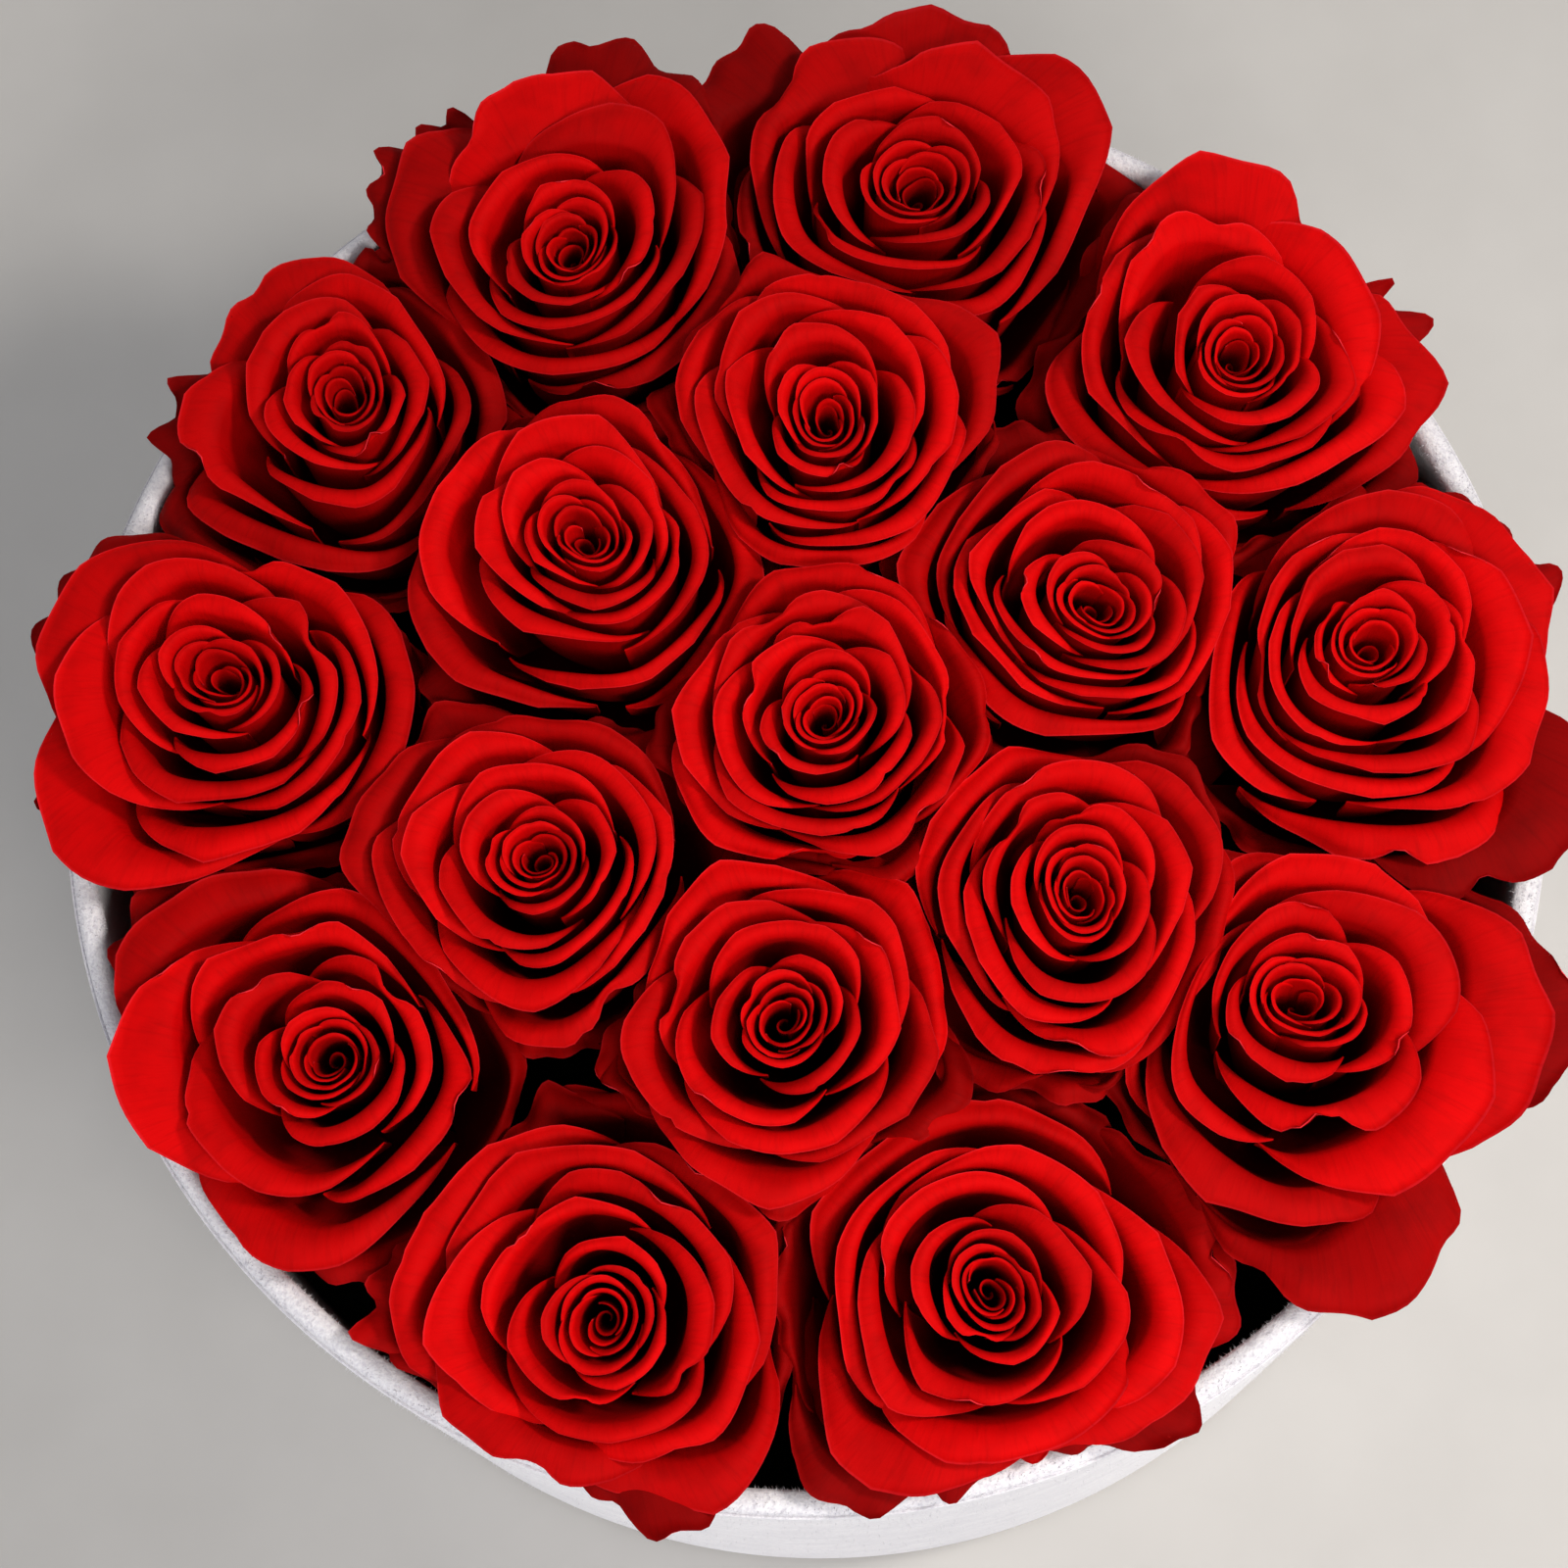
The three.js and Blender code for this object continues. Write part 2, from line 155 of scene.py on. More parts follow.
def grid_faces(rows, columns, first=0, wrap=False):
    """The quads of a grid of points that is numbered row by row, as an array of four corners.

    Each quad takes a point, the next in its row, and the two above them. Where it
    wraps, the last column joins the first.
    """
    span = columns if wrap else columns - 1
    row, column = np.meshgrid(np.arange(rows - 1), np.arange(span), indexing="ij")
    beside = (column + 1) % columns
    corners = [row * columns + column, row * columns + beside,
               (row + 1) * columns + beside, (row + 1) * columns + column]
    return first + np.stack(corners, -1).reshape(-1, 4)


def make_piece(name, points, faces, material, replaced=(), uv=None, flat=None, marks=None):
    """Writes points in millimetres and faces of one size, quads or triangles, into a mesh that
    rides on the box.

    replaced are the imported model's nodes that it stands for. uv holds one pair for each
    corner of each face. flat marks the faces that keep a hard edge. marks are named
    numbers, one for each point.
    """
    mesh = bpy.data.meshes.new(name)
    mesh.vertices.add(len(points))
    mesh.vertices.foreach_set("co", (np.asarray(points) * MM).astype(np.float32).ravel())
    mesh.loops.add(faces.size)
    mesh.loops.foreach_set("vertex_index", faces.astype(np.int32).ravel())
    mesh.polygons.add(len(faces))
    starts = np.arange(0, faces.size, faces.shape[1], dtype=np.int32)
    mesh.polygons.foreach_set("loop_start", starts)
    smooth = np.ones(len(faces), bool) if flat is None else ~flat
    mesh.polygons.foreach_set("use_smooth", smooth)
    if uv is not None:
        layer = mesh.uv_layers.new(name="petal")
        layer.data.foreach_set("uv", uv.astype(np.float32).ravel())
    for mark, values in (marks or {}).items():
        held = mesh.attributes.new(mark, "FLOAT", "POINT")
        held.data.foreach_set("value", values.astype(np.float32))
    mesh.update(calc_edges=True)
    mesh.validate()
    piece = bpy.data.objects.new(name, mesh)
    bpy.context.scene.collection.objects.link(piece)
    mesh.materials.append(material)
    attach(piece, "root")
    for node_name in replaced:
        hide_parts(node_name)


def turned(profile, sides):
    """A closed profile of [radius, height] carried round +Z: x = r cos a, y = r sin a, z = h.

    The profile runs upwards on the outside, so that its faces point outwards.
    """
    angle = np.linspace(0, 2 * np.pi, sides, endpoint=False)
    radius, height = np.asarray(profile, float).T
    points = np.stack([
        radius[:, None] * np.cos(angle),
        radius[:, None] * np.sin(angle),
        np.broadcast_to(height[:, None], (len(radius), sides)),
    ], -1)
    faces = grid_faces(len(radius) + 1, sides, wrap=True) % (len(radius) * sides)
    return points.reshape(-1, 3), faces


# ---- materials ----

def linear(colour):
    """An sRGB hex colour as linear red, green, blue and alpha.

    Each channel c is c / 12.92 where it is under 0.04045, and ((c + 0.055) / 1.055) ^ 2.4 above.
    """
    shares = [int(colour[i:i + 2], 16) / 255 for i in (1, 3, 5)]
    return [c / 12.92 if c < 0.04045 else ((c + 0.055) / 1.055) ** 2.4 for c in shares] + [1.0]


def add_node(tree, kind, settings=None, links=None):
    """Adds a shader node. settings are its sockets, its properties or, as "stops", the places
    and hex colours of its ramp. links are the sources of its sockets."""
    made = tree.nodes.new("ShaderNode" + kind)
    for name, value in (settings or {}).items():
        if name == "stops":
            elements = made.color_ramp.elements
            while len(elements) < len(value):
                elements.new(0.5)
            for element, (place, colour) in zip(elements, value):
                element.position = place
                element.color = linear(colour)
        elif isinstance(name, int) or name in made.inputs:
            made.inputs[name].default_value = value
        else:
            setattr(made, name, value)
    for name, source in (links or {}).items():
        tree.links.new(source, made.inputs[name])
    return made


def new_material(name, **surface):
    """A material with a Principled surface, and its node tree and that surface."""
    material = bpy.data.materials.new(name)
    material.use_nodes = True
    tree = material.node_tree
    principled = tree.nodes["Principled BSDF"]
    for socket, value in surface.items():
        principled.inputs[socket.replace("_", " ")].default_value = value
    return material, tree, principled


# Settings of a Mix node. Its sockets are 0 for the factor, 6 and 7 for the two colours.
MIX = {"data_type": "RGBA"}
MULTIPLY = {"data_type": "RGBA", "blend_type": "MULTIPLY"}
# Sockets of a Map Range node. It puts a value on a range from 0 to 1, unless TO_LOW or
# TO_HIGH says otherwise.
VALUE, FROM_LOW, FROM_HIGH, TO_LOW, TO_HIGH = range(5)


def dyed_rose_petal():
    """A real petal that was dried in glycerine and dyed: matt and velvety, since its skin is tiny
    cones, with fine veins from claw to lip, painted shade towards the claw and a painted highlight
    on its cut edge and at the end of its lip."""
    material, tree, surface = new_material(
        "dyed_rose_petal", Roughness=0.72, IOR=1.42, Specular_IOR_Level=0.07,
        Sheen_Weight=0.04, Sheen_Roughness=0.4)
    surface.inputs["Sheen Tint"].default_value = linear("#ff2018")
    place = add_node(tree, "UVMap", {"uv_map": "petal"}).outputs["UV"]
    along = add_node(tree, "SeparateXYZ", links={0: place}).outputs["Y"]
    tone = add_node(tree, "Attribute", {"attribute_name": "tone"}).outputs["Fac"]
    where = add_node(tree, "TexCoord").outputs["Object"]

    # The lip is bright. The darker colour towards the claw is painted shade of the depths between
    # petals, and the thin paler line at the lip's end is a painted highlight.
    dye_and_painted_light = [(0.0, "#480003"), (0.38, "#900003"), (0.52, "#c40003"), (0.63, "#ce0103"),
           (0.80, "#d60204"), (0.975, "#d80305"), (0.99, "#e61a22")]
    dyed = add_node(tree, "ValToRGB", {"stops": dye_and_painted_light}, {"Fac": along}).outputs["Color"]
    # Petals darken with their tone mark: at random from petal to petal, by painted shade on the
    # outer, guard and draped petals, which stand low, and by painted shade on the heads where the
    # light is dimmer.
    dark = add_node(tree, "Mix", {**MULTIPLY, 7: linear("#9a545e")}, {0: tone, 6: dyed}).outputs[2]
    # Blotches of dye, about 6 mm across.
    blotch = add_node(tree, "TexNoise", {"Scale": 160.0, "Detail": 3.0},
                      {"Vector": where}).outputs["Fac"]
    blotches = add_node(tree, "MapRange", {FROM_LOW: 0.45, FROM_HIGH: 0.75, TO_HIGH: 0.5},
                        {VALUE: blotch}).outputs[0]
    blotched = add_node(tree, "Mix", {**MULTIPLY, 7: linear("#c8b4b4")},
                        {0: blotches, 6: dark}).outputs[2]
    # Veins run from claw to lip, about 0.7 mm apart: the map's first number is in millimetres.
    stretch = add_node(tree, "Mapping", {"Scale": (1.4, 2.2, 1.0)}, {"Vector": place}).outputs[0]
    veins = add_node(tree, "TexNoise",
                     {"Scale": 1.0, "Detail": 4.0, "Roughness": 0.6, "Distortion": 0.3},
                     {"Vector": stretch}).outputs["Fac"]
    deep_veins = add_node(tree, "MapRange", {FROM_LOW: 0.5, FROM_HIGH: 0.72, TO_HIGH: 0.28},
                          {VALUE: veins}).outputs[0]
    veined = add_node(tree, "Mix", {**MULTIPLY, 7: linear("#b09098")},
                      {0: deep_veins, 6: blotched}).outputs[2]
    # The cut edge is painted paler as a highlight: the map's second number is over 1 there.
    edge = add_node(tree, "MapRange", {FROM_LOW: 1.01, FROM_HIGH: 1.03}, {VALUE: along}).outputs[0]
    final = add_node(tree, "Mix", {**MIX, 7: linear("#e02a34")}, {0: edge, 6: veined}).outputs[2]
    tree.links.new(final, surface.inputs["Base Color"])

    # The skin's cones are 0.03 mm, too fine to show, and are drawn 0.4 mm apart.
    skin = add_node(tree, "TexNoise", {"Scale": 2500.0, "Detail": 2.0},
                    {"Vector": where}).outputs["Fac"]
    low =add_node(tree, "Bump", {"Strength": 0.35, "Distance": 0.0002}, {"Height": veins})
    fine = add_node(tree, "Bump", {"Strength": 0.15, "Distance": 0.0001},
                    {"Height": skin, "Normal": low.outputs[0]})
    tree.links.new(fine.outputs[0], surface.inputs["Normal"])
    return material


def flocked_velvet():
    """White polyester velvet glued on board: a short dense pile without gloss, brushed by hand in
    patches, so that it is mottled, with a soft pale halo where it is seen from the side."""
    material, tree, surface = new_material(
        "flocked_white_velvet", Roughness=0.95, IOR=1.45, Specular_IOR_Level=0.1,
        Sheen_Weight=0.35, Sheen_Roughness=0.5)
    surface.inputs["Sheen Tint"].default_value = linear("#ffffff")
    where = add_node(tree, "TexCoord").outputs["Object"]
    # Brushed patches about 9 mm across, and tufts of pile about 0.7 mm across.
    patches = add_node(tree, "TexNoise", {"Scale": 110.0, "Detail": 3.0, "Roughness": 0.6},
                       {"Vector": where}).outputs["Fac"]
    tufts = add_node(tree, "TexNoise", {"Scale": 1450.0, "Detail": 3.0, "Roughness": 0.7},
                     {"Vector": where}).outputs["Fac"]
    brushed = add_node(tree, "ValToRGB", {"stops": [(0.35, "#ecebf0"), (0.65, "#f5f4f8")]},
                       {"Fac": patches}).outputs["Color"]
    piled = add_node(tree, "ValToRGB", {"stops": [(0.36, "#c6c4d0"), (0.58, "#ffffff")]},
                     {"Fac": tufts}).outputs["Color"]
    # The pile stands open where the cloth turns over the rim, from 3 to 1.5 mm below its top,
    # and lies flat on the wall.
    height = add_node(tree, "SeparateXYZ", links={0: where}).outputs["Z"]
    rise = {FROM_LOW: (BOX_HEIGHT - 3.0) * MM, FROM_HIGH: (BOX_HEIGHT - 1.5) * MM,
            TO_LOW: 0.28, TO_HIGH: 0.45}
    opened =add_node(tree, "MapRange", rise, {VALUE: height}).outputs[0]
    cloth = add_node(tree, "Mix", MULTIPLY, {0: opened, 6: brushed, 7: piled}).outputs[2]
    tree.links.new(cloth, surface.inputs["Base Color"])
    lay = add_node(tree, "Bump", {"Strength": 0.2, "Distance": 0.0004}, {"Height": patches})
    pile = add_node(tree, "Bump", {"Strength": 0.55, "Distance": 0.0004},
                    {"Height": tufts, "Normal": lay.outputs[0]})
    tree.links.new(pile.outputs[0], surface.inputs["Normal"])
    return material


def grey_board():
    """Greyboard: pressed recycled paper, matt, with fibres and dark specks about 1 mm long."""
    material, tree, surface = new_material(
        "pressed_greyboard", Roughness=0.9, IOR=1.5, Specular_IOR_Level=0.2)
    where = add_node(tree, "TexCoord").outputs["Object"]
    fibres = add_node(tree, "TexNoise", {"Scale": 900.0, "Detail": 5.0, "Roughness": 0.7},
                      {"Vector": where}).outputs["Fac"]
    greys = [(0.3, "#7f766a"), (0.5, "#9c9284"), (0.7, "#b3aa9c")]
    paper = add_node(tree, "ValToRGB", {"stops": greys}, {"Fac": fibres}).outputs["Color"]
    tree.links.new(paper, surface.inputs["Base Color"])
    bump = add_node(tree, "Bump", {"Strength": 0.3, "Distance": 0.0002}, {"Height": fibres})
    tree.links.new(bump.outputs[0], surface.inputs["Normal"])
    return material


def dry_foam():
    """Dry floral foam: blown phenolic resin, matt and crumbly, with open cells 1 mm across."""
    material, tree, surface = new_material(
        "blown_floral_foam", Roughness=1.0, IOR=1.4, Specular_IOR_Level=0.1)
    where = add_node(tree, "TexCoord").outputs["Object"]
    cells = add_node(tree, "TexVoronoi", {"Scale": 900.0}, {"Vector": where}).outputs["Distance"]
    # These greens are darker than dry foam: painted shade, so that the foam reads as the dark gaps
    # between the heads.
    greens = [(0.1, "#0e130b"), (0.6, "#1b2315"), (1.0, "#252e1d")]
    resin = add_node(tree, "ValToRGB", {"stops": greens}, {"Fac": cells}).outputs["Color"]
    tree.links.new(resin, surface.inputs["Base Color"])
    bump = add_node(tree, "Bump", {"Strength": 0.9, "Distance": 0.0006}, {"Height": cells})
    tree.links.new(bump.outputs[0], surface.inputs["Normal"])
    return material


def dyed_stem():
    """A rose stem and its hip, dried and dyed dark green: waxy, and ribbed every 0.8 mm."""
    material, tree, surface = new_material(
        "dried_green_stem", Roughness=0.55, IOR=1.45, Specular_IOR_Level=0.35)
    where = add_node(tree, "TexCoord").outputs["Object"]
    ribbed = add_node(tree, "Mapping", {"Scale": (1250.0, 1250.0, 60.0)},
                      {"Vector": where}).outputs[0]
    ribs = add_node(tree, "TexNoise", {"Scale": 1.0, "Detail": 3.0},
                    {"Vector": ribbed}).outputs["Fac"]
    greens = [(0.3, "#262f14"), (0.55, "#3d4a22"), (0.75, "#55632f")]
    green = add_node(tree, "ValToRGB", {"stops": greens}, {"Fac": ribs}).outputs["Color"]
    tree.links.new(green, surface.inputs["Base Color"])
    bump = add_node(tree, "Bump", {"Strength": 0.5, "Distance": 0.0003}, {"Height": ribs})
    tree.links.new(bump.outputs[0], surface.inputs["Normal"])
    return material


PETAL_SKIN = dyed_rose_petal()
WHITE_VELVET = flocked_velvet()
BOARD = grey_board()
FOAM = dry_foam()
STEM = dyed_stem()


# ---- the space that a head has ----
# A point of a head is a share of its spread (0 at the bud's axis, 1 at the
# outline), an azimuth, and a share of its height (0 at the hip, 1 at the crest).

# Petals keep off the lining, lean out with it a little, and more above the rim.
RIM_CLEARANCE = 1.0
WALL_LEAN = 0.25
LIP_LEAN = 2.0

# The powers by which spreads are joined: the higher, the squarer the petals press.
PRESS = 9
GUARD_PRESS = 20

# A head's own outline is wider than its radius, unless something presses on it.
OPENNESS = 1.2
ROUND_HEART = 0.96

# Heads closer than this press on each other, and reach past the flat between them.
NEIGHBOUR_RANGE = 90
TOUCH = 1.9
SEAM_LEAN = 0.45
SEAM_RANGE = 2.2
LIP_BELOW_CREST = 9.2

# The crest is highest at this share, and falls by these towards the outline and the heart.
HIGHEST = 0.35
OUTWARD_FALL = 0.22
INWARD_FALL = 0.19


def wall_limit(z, overhang):
    """The radius that petals may reach at height z: upright inside, and over the rim for the lips.

    With a = z - rim - clearance it is lining - clearance + 0.25 a + overhang * 2 * max(a, 0).
    """
    above = z - BOX_HEIGHT - RIM_CLEARANCE
    upright = LINING_RADIUS - RIM_CLEARANCE + WALL_LEAN * above
    return upright + overhang * LIP_LEAN * np.maximum(above, 0)


def spread(rose, middle, azimuth, z, overhang, press):
    """How far the head spreads towards an azimuth.

    It is (sum of d ^ -press) ^ (-1/press) over the distances d to its own outline, to
    the wall, and to the flat between it and each neighbour. That flat leans over the
    lower of the two heads, so the petals of the higher one lie on those of the other.
    """
    ux, uy = np.cos(azimuth), np.sin(azimuth)
    aside = middle[..., 0] * ux + middle[..., 1] * uy
    limit = wall_limit(z, overhang * rose["over"])
    to_wall = np.sqrt(aside ** 2 + limit ** 2 - (middle ** 2).sum(-1)) - aside
    total = (OPENNESS * rose["radius"]) ** -press + to_wall ** -press
    for other in ROSES:
        if other is rose:
            continue
        dx, dy = other["at"] - rose["at"]
        apart = math.hypot(dx, dy)
        if apart > NEIGHBOUR_RANGE:
            continue
        facing = np.clip((dx * ux + dy * uy) / apart, 0, 1)
        mine, theirs = (r["base"] + r["lift"] for r in (rose, other))
        seam = (mine + theirs) / 2 + HEAD_HEIGHT - LIP_BELOW_CREST
        lean = np.clip(SEAM_LEAN * (z - seam), -SEAM_RANGE, SEAM_RANGE) * np.sign(mine - theirs)
        own = apart * rose["radius"] / (rose["radius"] + other["radius"]) + TOUCH + lean
        total = total + (facing / own) ** press
    return total ** (-1 / press)


def head_point(rose, share, azimuth, height, slipped=1.0, overhang=0.0, press=PRESS):
    """Points of the head in millimetres, for arrays of share, azimuth and height.

    The middle moves outwards from the stem as the height grows. The bud's lean is
    (heart - slip) * (1 - share ^ 1.5) * height, plus slipped * slip * height. The reach is
    r * share at the heart, which is round, where r is 0.96 of the radius, and grows into
    spread * share: r s + (spread - r) s ^ 2.5. The heart is oval: its reach is times
    1 + oval * cos 2 (azimuth - its long axis) * (1 - share).
    """
    share, azimuth, height, overhang = np.broadcast_arrays(share, azimuth, height, overhang)
    z = rose["base"] + HEAD_HEIGHT * height
    grown = np.clip(height, 0, 1)
    middle = rose["at"] * (STEM_INSET + (1 - STEM_INSET) * grown)[..., None]
    round_radius = ROUND_HEART * rose["radius"]
    pressed = spread(rose, middle, azimuth, z, overhang, press) - round_radius
    reach = share * round_radius + pressed * share ** 2.5
    inwards = 1 - np.clip(share, 0, 1)
    reach = reach * (1 + rose["oval"] * np.cos(2 * (azimuth - rose["oval_at"])) * inwards)
    lean = (1 - np.clip(share, 0, 1) ** 1.5) * grown
    slid = slipped * grown
    x = middle[..., 0] + rose["lean"][0] * lean + rose["slip"][0] * slid + reach * np.cos(azimuth)
    y = middle[..., 1] + rose["lean"][1] * lean + rose["slip"][1] * slid + reach * np.sin(azimuth)
    return np.stack([x, y, z], -1)


def crest_height(level):
    """Petal tops, as a share of the head's height: lower at the outline and the heart.

    It is 1 - 0.22 * ((level - 0.35) / 0.65) ^ 2 outside of the share 0.35, and
    1 - 0.19 * ((0.35 - level) / 0.35) ^ 2 inside of it.
    """
    outwards = 1 - OUTWARD_FALL * ((level - HIGHEST) / (1 - HIGHEST)) ** 2
    inwards = 1 - INWARD_FALL * ((HIGHEST - level) / HIGHEST) ** 2
    return np.where(level > HIGHEST, outwards, inwards)


# ---- thin closed sheets ----

def sheet_faces(across, up):
    """The quads of one closed sheet, and where those of its sides start.

    They are its front, its back and its four narrow sides, in this order.
    """
    count = across * up
    front = grid_faces(across, up)[:, ::-1]
    back = grid_faces(across, up, first=count)
    at = np.arange(count).reshape(across, up)
    rim = np.concatenate([at[:, 0], at[-1, 1:], at[-2::-1, -1], at[0, -2:0:-1]])
    after = np.roll(rim, -1)
    sides = np.stack([rim, after, after + count, rim + count], -1)
    return np.concatenate([front, back, sides]), len(front) + len(back)


def closed_sheets(middle, thickness):
    """Both faces of many sheets: each grid point moved by half the thickness to either side.

    It moves along its normal, which is the cross product of the grid's two directions.
    middle is [sheet, across, up, xyz].
    """
    along = np.gradient(middle, axis=1)
    upward = np.gradient(middle, axis=2)
    normal = np.cross(along, upward)
    normal /= np.linalg.norm(normal, axis=-1, keepdims=True) + 1e-12
    offset = normal * (thickness / 2)[..., None]
    return np.stack([middle + offset, middle - offset], 1)


def outward_order(middle, axis):
    """1 where a sheet's grid normal points away from the head's axis, and -1 where it points in."""
    a = middle.shape[1] // 2
    b = middle.shape[2] // 2
    here = middle[:, a, b]
    normal = np.cross(middle[:, a + 1, b] - here, middle[:, a, b + 1] - here)
    away = here - axis
    return np.where((normal[:, :2] * away[:, :2]).sum(-1) > 0, 1, -1)


# ---- petals ----

# A head's first petals wrap the bud, and its guards close the space round it.
BUD_PETALS = 8
GUARDS = 7
GOLDEN_ANGLE = math.radians(137.5)

# Points across and up a petal, and along and up the bud's strip.
BUD_GRID = (25, 9)
OUTER_GRID = (37, 11)
STRIP_GRID = (65, 9)

# A petal's wall ends and its lip starts at this share of its way from claw to lip.
NECK_AT = 0.56
WALL_STEPS = 4
PETAL_THICKNESS = 0.4
LIP_THICKNESS = 0.18

# A lip's line has this many corners, and its lengths lie between these shares of its flare.
LIP_CORNERS = 7
SHORTEST_LIP = 0.74
LONGEST_LIP = 1.14

# Waves start at any phase, up to a full turn in radians.
PHASE = 6.3

# A petal's place in the map: how far from the last one's, so that their veins differ, and
# the number that marks its cut edge for the painted highlight, from this far up.
VEIN_STEP = 40
EDGE_MARK = 1.06
EDGE_FROM = 0.6

# How far round a gap the guards are sunk.
GAP_RADIUS = 11

# Each head has random draws of its own.
FIRST_HEAD_SEED = 400
HEAD_SEED_STEP = 7


def bezier(controls, v):
    """A Bezier curve through whole arrays: the sum of C(n, i) v^i (1 - v)^(n - i) P_i."""
    degree = len(controls) - 1
    return sum(math.comb(degree, i) * v ** i * (1 - v) ** (degree - i) * control
               for i, control in enumerate(controls))


def head_petals(rose, random):
    """The sizes of a head's own petals, one number a petal in each array.

    Petal k stands at k golden angles. The first petals wrap the bud closely, and the
    others stand about 0.035 to 0.045 of the spread apart, with one wider step at the ring
    where the head opens: gap / (1 + exp(-2.2 (k - ring))). A petal's flare is as wide as
    its neighbours leave room, and wider in a head with fewer petals.
    """
    count = rose["petals"]
    draw = lambda low, high: random.uniform(low, high, count)
    k = np.arange(count, dtype=float)
    last = count - 1
    broad = (17 / (count - BUD_PETALS)) ** 0.6
    grown = np.clip((k - BUD_PETALS + 3) / 4, 0, 1)
    opened = 1 / (1 + np.exp(-2.2 * (k - rose["ring"])))
    outer = np.clip((k - (count - 7)) / 6, 0, 1)
    neck = np.interp(k, [0, BUD_PETALS - 1, BUD_PETALS, last],
                     [0.105, 0.255, 0.300, 0.860 - rose["gap"]])
    neck += rose["gap"] * opened + draw(-0.005, 0.005)
    flare = np.interp(k, [0, BUD_PETALS - 1, BUD_PETALS + 2, last],
                      [0.016, 0.048, 0.094 * broad, 0.135 * broad])
    flare = flare * draw(0.84, 1.18)
    degrees = np.interp(k, [0, BUD_PETALS, last - 6, last], [98, 78, 72, 60])
    return dict(
        middle=math.radians(rose["start"]) + rose["turn"] * GOLDEN_ANGLE * k + draw(-0.18, 0.18),
        half_width=np.radians(degrees + draw(-6, 8)),
        neck=neck,
        flare=flare,
        wobble=0.006 - 0.002 * grown,
        spiral=0.018 - 0.006 * grown,
        top=crest_height(neck + flare / 2) + rose["lift"] / HEAD_HEIGHT + draw(-0.012, 0.012),
        slope=0.030 + 0.012 * grown + draw(-0.006, 0.008),
        droop=0.006 + 0.010 * grown + 0.05 * outer * draw(0.3, 1.0),
        corner_drop=0.06 + 0.10 * grown + draw(-0.02, 0.04),
        tuck=0.008 + 0.028 * grown,
        bent=(0.45 + 0.55 * grown) * draw(0.15, 0.85),
        ripple=0.002 + 0.013 * outer,
        edge_wave=0.006 + 0.012 * grown,
        curl=(draw(0, 1) < 0.25) * grown * draw(0.5, 1.0),
        fold=(draw(0, 1) < 0.16) * draw(0.5, 1.0),
        overhang=np.clip((k - (count - 9)) / 5, 0, 1),
        slipped=1 - opened,
        # Outer petals are darker by painted shade, as they stand low, and all vary at random.
        tone=np.clip(0.3 * outer + draw(-0.25, 0.3), 0, 1),
    )


def guard_petals(rose, random):
    """The sizes of the guard petals: low, wide, ruffled, darkened by painted shade, and spread into
    the corners.

    A guard is sunk by 0.22 * exp(-(d / 11)^2) of the height, where d is its distance from
    the nearest gap in millimetres, and drawn in by 0.12 times the same.
    """
    draw = lambda low, high: random.uniform(low, high, GUARDS)
    k = np.arange(GUARDS, dtype=float)
    even = 0 * k
    around = GOLDEN_ANGLE * rose["petals"] + 2 * np.pi * k / GUARDS
    middle = math.radians(rose["start"]) + rose["turn"] * around + draw(-0.3, 0.3)
    for corner in rose["corners"]:
        middle[np.argmax(np.cos(middle - corner))] = corner
    place = rose["at"] + rose["radius"] * np.stack([np.cos(middle), np.sin(middle)], -1)
    sunk = np.exp(-(np.linalg.norm(place[:, None] - GAPS, axis=-1).min(-1) / GAP_RADIUS) ** 2)
    return dict(
        middle=middle,
        half_width=np.radians(38 + draw(-8, 10)),
        neck=0.900 + 0.014 * (k % 2) - 0.12 * sunk,
        flare=0.11 + draw(-0.03, 0.05),
        wobble=even,
        spiral=even,
        top=0.665 + 0.03 * (k % 2) + draw(-0.04, 0.04) + rose["lift"] / HEAD_HEIGHT - 0.22 * sunk,
        slope=0.05 + draw(-0.02, 0.02),
        droop=0.03 + draw(0, 0.05),
        corner_drop=0.10 + draw(-0.03, 0.06),
        tuck=0.01 + even,
        bent=1 + even,
        ripple=0.034 + draw(-0.01, 0.012),
        edge_wave=0.05 + draw(-0.02, 0.02),
        curl=(draw(0, 1) < 0.4) * draw(0.5, 1.0),
        fold=even,
        overhang=0.6 + even,
        slipped=even,
        # Guards are darkened by 0.7: painted shade, as they stand low between the heads.
        tone=0.7 + draw(-0.2, 0.25),
    )


def draped_petals(rose, random):
    """The sizes of the petals that hang over the rim, out from under the lips of their head."""
    azimuth, half_width, flare = np.array(rose["drapes"], float).T
    draw = lambda low, high: random.uniform(low, high, len(azimuth))
    even = 0 * azimuth
    return dict(
        middle=np.radians(azimuth),
        half_width=np.radians(half_width),
        neck=0.925 + even,
        flare=flare,
        wobble=even,
        spiral=even,
        top=0.755 + draw(-0.01, 0.02) + rose["lift"] / HEAD_HEIGHT,
        slope=0.035 + even,
        droop=0.035 + draw(0, 0.02),
        corner_drop=0.09 + draw(-0.02, 0.03),
        tuck=0.01 + even,
        bent=0.9 + even,
        ripple=0.024 + draw(-0.004, 0.008),
        edge_wave=0.050 + draw(-0.01, 0.02),
        curl=draw(0.5, 1.0),
        fold=even,
        overhang=1.8 + even,
        slipped=even,
        # Draped petals are darkened by 0.85: painted shade, as they hang low over the rim.
        tone=0.85 + draw(-0.2, 0.2),
    )


